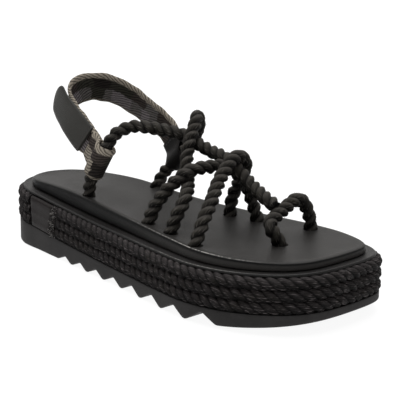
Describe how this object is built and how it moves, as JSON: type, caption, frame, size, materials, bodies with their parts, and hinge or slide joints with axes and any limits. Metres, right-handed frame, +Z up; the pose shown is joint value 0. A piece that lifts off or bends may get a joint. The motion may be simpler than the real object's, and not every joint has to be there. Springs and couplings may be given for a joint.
{
  "type": "rope sandal",
  "caption": "Right sandal with a rope upper, a rope-wrapped platform on a toothed rubber outsole, and a webbing heel strap with a closing tab.",
  "frame": {"origin": "middle of the footprint, on the floor", "axes": "+X to the toe, +Y to the big toe's side, +Z up"},
  "size_m": [0.2614, 0.1056, 0.1061],
  "materials": {
    "outsole_rubber": "matte, moulded",
    "midsole_foam": "matte foam",
    "wrap_rope": "stranded rope",
    "upper_rope": "stranded rope",
    "smooth_leather": "smooth, low sheen",
    "footbed_leather": "fine grain, low sheen",
    "strap_webbing": "woven, with long stripes"
  },
  "bodies": {
    "root": {"outsole": "outsole_rubber", "midsole": "midsole_foam", "wrap_rope_1": "wrap_rope", "wrap_rope_2": "wrap_rope", "wrap_rope_3": "wrap_rope", "wrap_cover": "smooth_leather", "rim": "smooth_leather", "footbed": "footbed_leather", "rope_upper": "upper_rope", "heel_strap": "strap_webbing", "closing_tab": "smooth_leather", "strap_keeper": "smooth_leather"}
  },
  "joints": []
}
